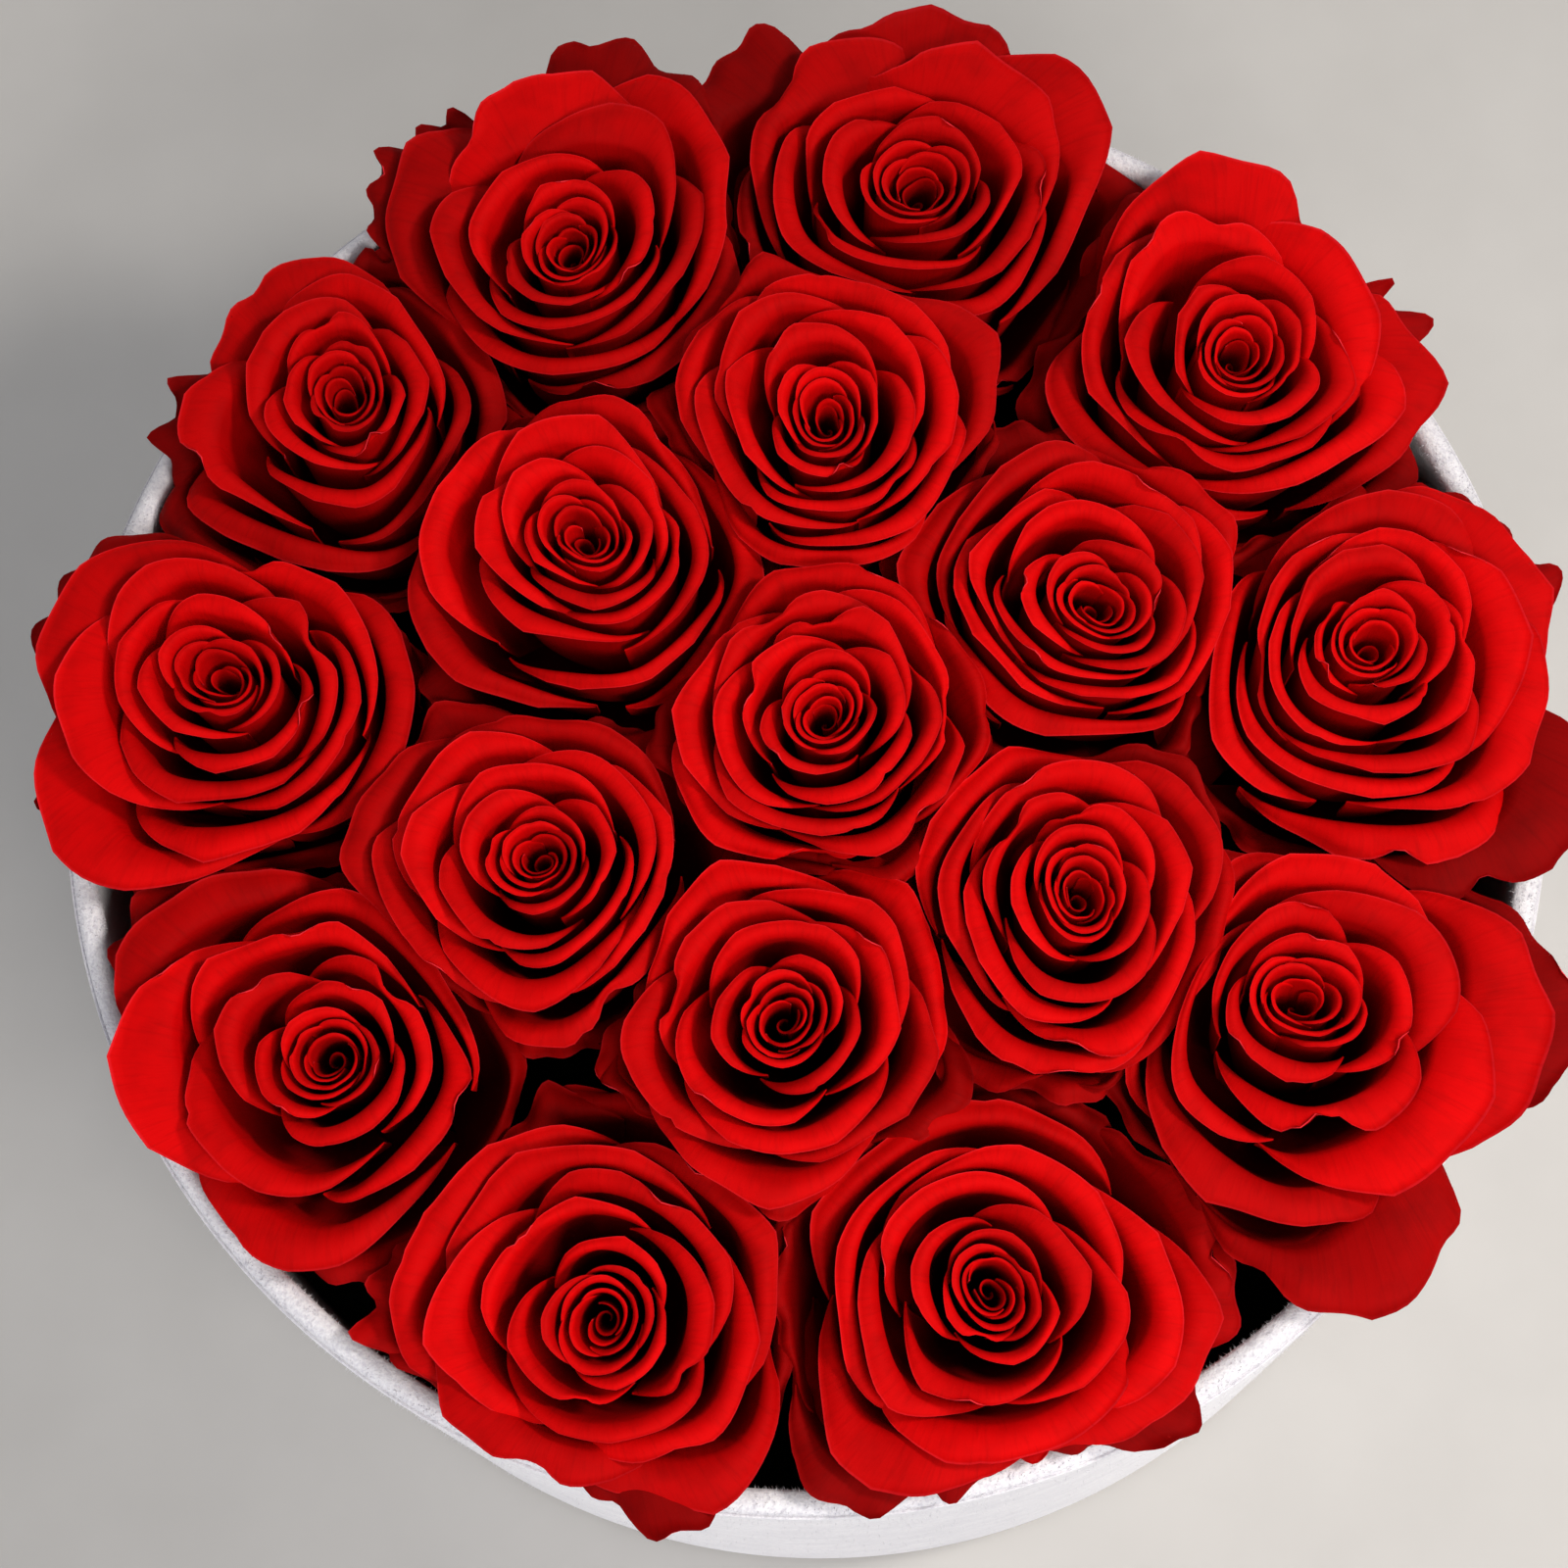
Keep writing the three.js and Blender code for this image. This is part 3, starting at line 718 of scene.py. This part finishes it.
def cornered(random, count, t, corners, low, high):
    """A line of straight stretches between corners for each petal, and how far they cut its arc.

    The corners stand at jittered steps of t, with heights drawn between low and high. At
    share s of a stretch from t1 to t2, the height is h1 + (h2 - h1) s, and the chord lies
    s (1 - s) (t2 - t1)^2 / 2 inside of the arc, times the half width squared and the radius.
    """
    columns = t.size // 2
    step = 2 / (corners - 1)
    knots = np.linspace(-1, 1, corners) + random.uniform(-0.3, 0.3, (count, corners)) * step
    knots = np.round(knots * columns) / columns
    knots[:, 0], knots[:, -1] = -1, 1
    heights = random.uniform(low, high, (count, corners))
    at = np.clip((t[:, None] >= knots[:, None, :]).sum(-1) - 1, 0, corners - 2)
    take = lambda array, i: np.take_along_axis(array, i, 1)
    width = take(knots, at + 1) - take(knots, at)
    s = (t - take(knots, at)) / width
    line = take(heights, at) * (1 - s) + take(heights, at + 1) * s
    return line[..., None], (s * (1 - s) * width ** 2 / 2)[..., None]


def petal_rows(up):
    """The steps from claw to lip: four up the wall, closer towards the neck, and the lip's own."""
    wall = NECK_AT * (1 - (1 - np.linspace(0, 1, WALL_STEPS + 1)) ** 1.6)
    lip = NECK_AT + (1 - NECK_AT) * np.linspace(0, 1, up - WALL_STEPS)[1:] ** 1.3
    return np.concatenate([wall, lip])


def petal_grids(rose, random, sizes, grid, press):
    """The middle surfaces of petals as points [petal, across, up, xyz], with their map and tone.

    Across a petal t runs from -1 to 1, and v from its claw to its lip. Its outline in
    the plane of share and height is a steep wall, a Bezier curve from the hip out to
    the belly and up to the neck at n, and then a flat lip, which rises by
    slope * (1 - (1 - w)^3) less droop * w^2 on its way w from n to n + f(t). The flare f fades
    to the sides, which stand lower and are tucked under the lips inside of them.
    """
    count = len(sizes["neck"])
    column = lambda values: np.asarray(values)[:, None, None]
    draw = lambda low, high: column(random.uniform(low, high, count))
    size = {name: column(values) for name, values in sizes.items()}

    flat_t = np.linspace(-1, 1, grid[0])
    t = flat_t[None, :, None]
    v = petal_rows(grid[1])[None, None, :]
    n = size["neck"] - size["tuck"] * t ** 2 + size["spiral"] * t
    n = n + size["wobble"] * np.sin(draw(1.5, 2.5) * t + draw(0, PHASE))

    # The lip's line: straight stretches between corners, slow waves, ripples, a nick, and a
    # fold on some petals. The flare loses what its chords cut off the arc where a petal is
    # bent, and fades as 1 - |t|^2.4.
    line, chord = cornered(random, count, flat_t, LIP_CORNERS, SHORTEST_LIP, LONGEST_LIP)
    waves = np.sin(draw(2.0, 3.6) * t + draw(0, PHASE))
    ripples = np.sin(draw(8, 14) * t + draw(0, PHASE)) * np.sin(draw(3, 5) * t + draw(0, PHASE))
    nick = draw(-1.5, 1.0).clip(0) * np.exp(-np.abs(t - draw(-0.7, 0.7)) / 0.035)
    folded = size["fold"] * np.exp(-((t - draw(-0.75, 0.75)) / 0.14) ** 2)
    fade = 1 - np.abs(t) ** 2.4
    f = size["flare"] * (line + 0.06 * waves - 0.25 * nick - folded) + size["ripple"] * ripples
    f = f - size["bent"] * size["half_width"] ** 2 * chord * (n + size["flare"])
    f = np.maximum(f, 0.2 * size["flare"]) * fade
    top = size["top"] - size["corner_drop"] * np.abs(t) ** 2.6

    # u runs up the wall and w over the lip.
    u = np.clip(v / NECK_AT, 0, 1)
    w = np.clip((v - NECK_AT) / (1 - NECK_AT), 0, 1)
    even = 0 * (f + top)
    neck_top = top - size["slope"]
    share = bezier([0.04 + 0.16 * n + even, 0.80 * n + even, 0.93 * n + even, n + even], u) + f * w
    height = bezier([even, 0.02 + even, 0.45 * neck_top, neck_top], u)
    drooped = size["droop"] * w ** 2 * (1 - 0.5 * t ** 2)
    height = height + size["slope"] * (1 - (1 - w) ** 3) - drooped
    waved = size["edge_wave"] * (0.4 * waves + line - 0.95) + 0.8 * size["ripple"] * ripples
    height = height + waved * w
    # A dried tip curls back and up over the last 0.3 of the lip, within 0.09 of t.
    curled = size["curl"] * np.exp(-((t - draw(-0.7, 0.7)) / 0.09) ** 2)
    curled = curled * np.clip((w - 0.7) / 0.3, 0, 1)
    share, height = share - 0.045 * curled, height + 0.045 * curled
    fanned = 0.45 + 0.55 * np.sin(u * np.pi / 2)
    azimuth = size["middle"] + rose["turn"] * size["half_width"] * t * fanned
    overhang = np.clip((v - 0.5) / 0.5, 0, 1) ** 1.5 * size["overhang"]
    points = head_point(rose, share, azimuth, height, size["slipped"], overhang, press)

    across_mm = t * size["half_width"] * size["neck"] * rose["radius"]
    across_mm = across_mm + VEIN_STEP * column(np.arange(count)) + 0 * share
    mapped = np.stack([across_mm, v + 0 * share], -1)
    return points, mapped, np.broadcast_to(size["tone"], share.shape)


def bud_grid(rose, random):
    """The rolled middle of the bud: one strip that winds outwards from share 0.02 to about 0.09.

    Its azimuth is start + 2 pi * turns * s ^ 0.85, for s along the strip. Its top is
    lower by 0.10 (1 - s)^2 towards the heart, so that the bud has a dark eye, and waves a little.
    """
    s = np.linspace(0, 1, STRIP_GRID[0])[:, None]
    v = petal_rows(STRIP_GRID[1])[None, :]
    w = np.clip((v - NECK_AT) / (1 - NECK_AT), 0, 1)
    angle = 2 * np.pi * rose["turns"] * s ** 0.85
    level = 0.018 + 0.074 * s + 0.010 * np.sin(1.7 * angle + random.uniform(0, PHASE)) * s
    top = crest_height(level) + rose["lift"] / HEAD_HEIGHT
    wave = 0.014 * np.sin(2.3 * angle + random.uniform(0, PHASE)) * s
    top = top - 0.012 - 0.10 * (1 - s) ** 2 + wave - 0.05 * s ** 12
    u = np.clip(v / NECK_AT, 0, 1)
    share = bezier([0.55 * level, 0.9 * level, 0.98 * level, level], u)
    share = share + 0.014 * w * (0.4 + 0.6 * s) * (1 - s ** 8)
    height = bezier([0.40 + 0 * top, 0.6 + 0 * top, top - 0.12, top - 0.02], u)
    height = height + 0.02 * (1 - (1 - w) ** 3)
    azimuth = math.radians(rose["start"] + 40) + rose["turn"] * angle
    points = head_point(rose, share, azimuth, height)
    mapped = np.stack([angle * level * rose["radius"] + 0 * share, v + 0 * share], -1)
    tone = np.full(share.shape, 0.3)
    return points[None], mapped[None], tone[None]


def sheets_mesh(rose, points, mapped, tone):
    """The points, quads, map, flat faces and tone of closed petal sheets, with faces outwards.

    A sheet is 0.4 mm thick at its claw, and thins to 0.18 mm at its lip.
    """
    count, across, up = tone.shape
    faces, side_from = sheet_faces(across, up)
    v = mapped[..., 1]
    thickness = PETAL_THICKNESS + (LIP_THICKNESS - PETAL_THICKNESS) * v
    axis = np.append(rose["at"] + rose["lean"] + rose["slip"], 0)
    order = outward_order(points, axis)
    shells = closed_sheets(points, thickness * order[:, None, None])
    size = 2 * across * up
    quads = np.where((order > 0)[:, None, None], faces[None], faces[None, :, ::-1])
    corner_uv = np.concatenate([mapped, mapped], 1).reshape(count, size, 2)
    uv = np.take_along_axis(corner_uv, quads.reshape(count, -1, 1).repeat(2, -1), 1)
    uv = uv.reshape(count, len(faces), 4, 2)
    # Side faces from this far up are marked for the painted highlight on the cut edge.
    edge = uv[:, side_from:, :, 1]
    uv[:, side_from:, :, 1] = np.where(edge > EDGE_FROM, EDGE_MARK, edge)
    quads = quads + (np.arange(count) * size)[:, None, None]
    flat = np.zeros((count, len(faces)), bool)
    flat[:, side_from:] = True
    marks = np.concatenate([tone, tone], 1).reshape(count, size)
    return (shells.reshape(-1, 3), quads.reshape(-1, 4), uv.reshape(-1, 4, 2),
            flat.ravel(), marks.ravel())


def bloom(rose, seed):
    """One rose head: the rolled bud and all petals, as one piece that stands for the CAD bloom."""
    random = np.random.default_rng(seed)
    petals = head_petals(rose, random)
    inner = {size: values[:BUD_PETALS] for size, values in petals.items()}
    outer = {size: values[BUD_PETALS:] for size, values in petals.items()}
    grids = [
        bud_grid(rose, random),
        petal_grids(rose, random, inner, BUD_GRID, PRESS),
        petal_grids(rose, random, outer, OUTER_GRID, PRESS),
        petal_grids(rose, random, guard_petals(rose, random), OUTER_GRID, GUARD_PRESS),
    ]
    if rose["drapes"]:
        draped = draped_petals(rose, random)
        grids.append(petal_grids(rose, random, draped, OUTER_GRID, GUARD_PRESS))
    parts = []
    first = 0
    for points, mapped, tone in grids:
        # Each head's painted shade for dimmer light is added to the darkening of every petal.
        shells, quads, *rest = sheets_mesh(rose, points, mapped, tone + rose["painted_falloff_shade"])
        parts.append([shells, quads + first, *rest])
        first += len(shells)
    points, quads, uv, flat, tone = (np.concatenate(kind) for kind in zip(*parts))
    make_piece(rose["name"] + "_petals", points, quads, PETAL_SKIN,
               [rose["name"] + "_bloom"], uv, flat, {"tone": tone})


# ---- the velvet box ----

RIM_SIDES = 320
BASE_SIDES = 160
TURN_IN = 14

# The cloth folds over the board in half an ellipse.
RIM_CENTRE = BOX_RADIUS - WALL / 2 - 0.3
RIM_HALF = WALL / 2 - 0.3
RIM_HEIGHT = 1.7

# The wall's own cloth ends in a crease under it: how far inwards, and up from the rim's top.
CREASE = [(0, -2.7), (0.05, -2.2), (0.20, -1.95), (0.32, -2.05), (0.50, -2.45), (0.58, -2.1)]

# A disc's middle is closed up to this radius.
POLE = 0.001


def velvet_profile():
    """The skin's closed outline: up the outside, a crease, the round rim, the lining and back.

    The rim is half an ellipse, 3.8 mm wide and 1.7 mm high, where the cloth folds over
    the board. The wall's own cloth ends in the crease, 0.5 mm deep and open upwards. The
    foot bends over 1 mm and turns in under the box, and the cloth's back closes the outline.
    """
    turn_in, outside, lining = BOX_RADIUS - TURN_IN, BOX_RADIUS - VELVET, LINING_RADIUS + VELVET
    under_rim = BOX_HEIGHT - VELVET - 0.1
    foot = [[turn_in, COVER_BOTTOM], [BOX_RADIUS - 1.0, COVER_BOTTOM],
            [BOX_RADIUS - 0.3, COVER_BOTTOM + 0.3], [BOX_RADIUS, COVER_BOTTOM + 1.0]]
    wall = [[BOX_RADIUS, z] for z in np.linspace(6, BOX_HEIGHT - 6, 24)]
    crease = [[BOX_RADIUS - inwards, BOX_HEIGHT + up] for inwards, up in CREASE]
    a = np.linspace(0, np.pi, 13)
    rim = np.stack([RIM_CENTRE + RIM_HALF * np.cos(a),
                    BOX_HEIGHT - RIM_HEIGHT + RIM_HEIGHT * np.sin(a)], -1)
    inside = [[LINING_RADIUS, z] for z in np.linspace(BOX_HEIGHT - 5, FLOOR_TOP, 14)]
    back = [[lining, FLOOR_TOP], [lining, BOX_HEIGHT - 3],
            [lining + 0.5, under_rim], [outside - 0.5, under_rim],
            [outside, BOX_HEIGHT - 3], [outside, COVER_BOTTOM + VELVET],
            [turn_in, COVER_BOTTOM + VELVET]]
    return foot + wall + crease + rim.tolist() + inside + back


def velvet_box():
    """The velvet skin and the base disc, as smooth turned shapes with a slightly uneven rim."""
    points, quads = turned(velvet_profile(), RIM_SIDES)
    angle = np.arctan2(points[:, 1], points[:, 0])
    radius = np.hypot(points[:, 0], points[:, 1])
    height = points[:, 2]
    # Hand-glued cloth: 0.12 mm high and low, as a sum of two sines round the box.
    uneven = 0.07 * np.sin(23 * angle + 0.11 * height) + 0.05 * np.sin(57 * angle - 0.2 * height)
    on_rim = (radius > LINING_RADIUS + 0.9) & (radius < BOX_RADIUS - 0.9)
    points[:, 2] += np.where(on_rim & (height > BOX_HEIGHT - 2.4), uneven - 0.06, 0)
    make_piece("velvet_skin", points, quads, WHITE_VELVET, ["velvet_cover"])
    disc = [[POLE, 0.0], [BASE_RADIUS - 0.5, 0.0], [BASE_RADIUS, 0.25],
            [BASE_RADIUS, BASE_TOP], [POLE, BASE_TOP]]
    points, quads = turned(disc, BASE_SIDES)
    make_piece("velvet_base", points, quads, WHITE_VELVET, ["base_velvet"])


PILE_SEED = 77
FIBRES = 15000
FIBRE_LENGTH = 0.85
FIBRE_WIDTH = 0.11

# The share of fibres on the wall, and how far below the rim's top the first of them stand.
WALL_FIBRES = 0.3
WALL_FIBRES_FROM = 2.8

# Roots are sunk into the cloth, so they lie on a smaller ellipse. They lean by a random
# vector of this size.
ROOT_DEPTH = 0.12
ROOT_HEIGHT = 1.55
FIBRE_LEAN = 0.42


def velvet_pile():
    """Stray fibres of the pile, each a thin pyramid that leans off the cloth by its own angle.

    A root lies at rim angle a and azimuth b, on the ellipse of the rim or on the wall
    below it. Its direction is the cloth's normal plus a random vector. The pyramid has
    three base points round the root and its tip at root + length * direction.
    """
    random = np.random.default_rng(PILE_SEED)
    around = random.uniform(0, 2 * np.pi, FIBRES)
    over = random.uniform(-0.25, np.pi + 0.35, FIBRES)
    on_wall = random.uniform(0, 1, FIBRES) < WALL_FIBRES
    below = WALL_FIBRES_FROM + random.uniform(0, 1, FIBRES) ** 2 * (BOX_HEIGHT - 10)
    down = np.where(on_wall, below, 0)
    over = np.where(on_wall, 0, over)
    rolled = RIM_CENTRE + (RIM_HALF - ROOT_DEPTH) * np.cos(over)
    radius = np.where(on_wall, BOX_RADIUS - ROOT_DEPTH, rolled)
    height = BOX_HEIGHT - RIM_HEIGHT + ROOT_HEIGHT * np.sin(np.clip(over, 0, np.pi)) - down
    height = height - 6 * np.clip(-over, 0, 1) - 6 * np.clip(over - np.pi, 0, 1)
    upright = np.array([0, 0, 1])
    outward = np.stack([np.cos(around), np.sin(around), 0 * around], -1)
    normal = outward * np.cos(over)[:, None] + upright * np.sin(over)[:, None]
    direction = normal + random.normal(0, FIBRE_LEAN, (FIBRES, 3))
    direction /= np.linalg.norm(direction, axis=1, keepdims=True)
    root = outward * radius[:, None] + upright * height[:, None]
    side = np.cross(direction, random.normal(0, 1, (FIBRES, 3)))
    side /= np.linalg.norm(side, axis=1, keepdims=True)
    third = np.cross(direction, side)
    turn = 2 * np.pi * np.arange(3)[:, None] / 3
    ring = side[:, None] * np.cos(turn) + third[:, None] * np.sin(turn)
    base = root[:, None] + FIBRE_WIDTH / 2 * ring
    tip = root + direction * (FIBRE_LENGTH * random.uniform(0.6, 1.25, FIBRES))[:, None]
    points = np.concatenate([base, tip[:, None]], 1)
    pyramid = np.array([[0, 1, 3], [1, 2, 3], [2, 0, 3], [2, 1, 0]])
    faces = (pyramid + 4 * np.arange(FIBRES)[:, None, None]).reshape(-1, 3)
    make_piece("velvet_pile", points.reshape(-1, 3), faces, WHITE_VELVET)


# ---- stage, light and camera ----

# In metres: half the floor's side, its thickness, and the point that the lamps look at.
FLOOR_HALF = 20
FLOOR_THICKNESS = 0.01
LAMP_TARGET = (0, 0, 0.12)

# Two soft lamps stand to the right, as in the photograph, and three low ones light the
# wall: name, place and size in metres, power in watts, and colour.
LAMPS = [
    ("upper_right", (0.52, 0.02, 0.80), 0.13, 3.4, "#fff8f0"),
    ("lower_right", (0.22, -0.38, 0.70), 0.22, 2.35, "#fffaf4"),
    ("front", (-0.25, -1.65, 0.50), 0.60, 7.8, "#f4f6ff"),
    ("back", (0.35, 1.65, 0.55), 0.60, 3.0, "#f4f6ff"),
    ("left", (-1.65, 0.12, 0.50), 0.60, 2.2, "#f4f6ff"),
]
SKY_STRENGTH = 0.33

# The camera's tilt off straight down and its swing round the box, its distance from its
# target among the heads, in metres, and its lens and sensor in millimetres.
CAMERA_TILT = math.radians(14.5)
CAMERA_SWING = math.radians(6.5)
CAMERA_DISTANCE = 0.560
CAMERA_TARGET = (-0.0028, -0.0034, 0.140)
CAMERA_LENS = 83.14
CAMERA_SENSOR = 36.0


def stage_and_light():
    """A pale paper floor, the lamps and an even sky."""
    material, tree, surface = new_material(
        "pale_paper_sweep", Roughness=0.9, IOR=1.45, Specular_IOR_Level=0.1)
    where = add_node(tree, "TexCoord").outputs["Object"]
    # Paper is not quite even: clouds about 25 mm across.
    grain = add_node(tree, "TexNoise", {"Scale": 40.0, "Detail": 3.0},
                     {"Vector": where}).outputs["Fac"]
    paper = add_node(tree, "ValToRGB", {"stops": [(0.3, "#c9c7c4"), (0.7, "#cdcbc8")]},
                     {"Fac": grain}).outputs["Color"]
    tree.links.new(paper, surface.inputs["Base Color"])
    mesh = bpy.data.meshes.new("floor")
    corners = [(x * FLOOR_HALF, y * FLOOR_HALF, z) for z in (-FLOOR_THICKNESS, 0)
               for x, y in ((-1, -1), (1, -1), (1, 1), (-1, 1))]
    sides = [(3, 2, 1, 0), (4, 5, 6, 7), (0, 1, 5, 4), (1, 2, 6, 5), (2, 3, 7, 6), (3, 0, 4, 7)]
    mesh.from_pydata(corners, [], sides)
    mesh.materials.append(material)
    floor = bpy.data.objects.new("floor", mesh)
    bpy.context.scene.collection.objects.link(floor)

    for name, place, size, power, colour in LAMPS:
        light = bpy.data.lights.new(name, "AREA")
        light.size = size
        light.energy = power
        light.color = linear(colour)[:3]
        lamp = bpy.data.objects.new(name, light)
        lamp.location = place
        towards = Vector(LAMP_TARGET) - Vector(place)
        lamp.rotation_euler = towards.to_track_quat("-Z", "Y").to_euler()
        bpy.context.scene.collection.objects.link(lamp)

    world = bpy.data.worlds.new("studio")
    world.use_nodes = True
    sky = world.node_tree.nodes["Background"]
    sky.inputs["Color"].default_value = linear("#ffffff")
    sky.inputs["Strength"].default_value = SKY_STRENGTH
    bpy.context.scene.world = world
    bpy.context.scene.view_settings.view_transform = "Standard"


def photo_camera():
    """The photograph's camera, 14.5 degrees off straight down and 560 mm from its target.

    Its back points to (sin tilt sin swing, -sin tilt cos swing, cos tilt).
    """
    tilt, swing = CAMERA_TILT, CAMERA_SWING
    back = Vector((math.sin(tilt) * math.sin(swing), -math.sin(tilt) * math.cos(swing),
                   math.cos(tilt)))
    place = Vector(CAMERA_TARGET) + CAMERA_DISTANCE * back
    right = (-back).cross(Vector((0, 1, 0))).normalized()
    up = right.cross(-back)
    data = bpy.data.cameras.new("photo")
    data.lens = CAMERA_LENS
    data.sensor_width = CAMERA_SENSOR
    camera = bpy.data.objects.new("photo", data)
    turn = Matrix([right, up, back]).transposed().to_4x4()
    camera.matrix_world = Matrix.Translation(place) @ turn
    bpy.context.scene.collection.objects.link(camera)
    bpy.context.scene.camera = camera


# ---- the whole object ----

for i, rose in enumerate(ROSES):
    bloom(rose, FIRST_HEAD_SEED + HEAD_SEED_STEP * i)
velvet_box()
velvet_pile()

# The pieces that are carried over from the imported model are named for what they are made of.
FINISHES = {"bloom": PETAL_SKIN, "stem": STEM, "foam": FOAM, "board": BOARD}
for name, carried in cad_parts.items():
    finish = FINISHES.get(name.split("_")[-1], WHITE_VELVET)
    if not carried.material_slots:
        carried.data.materials.append(finish)
    for held in carried.material_slots:
        held.material = finish
stage_and_light()
photo_camera()
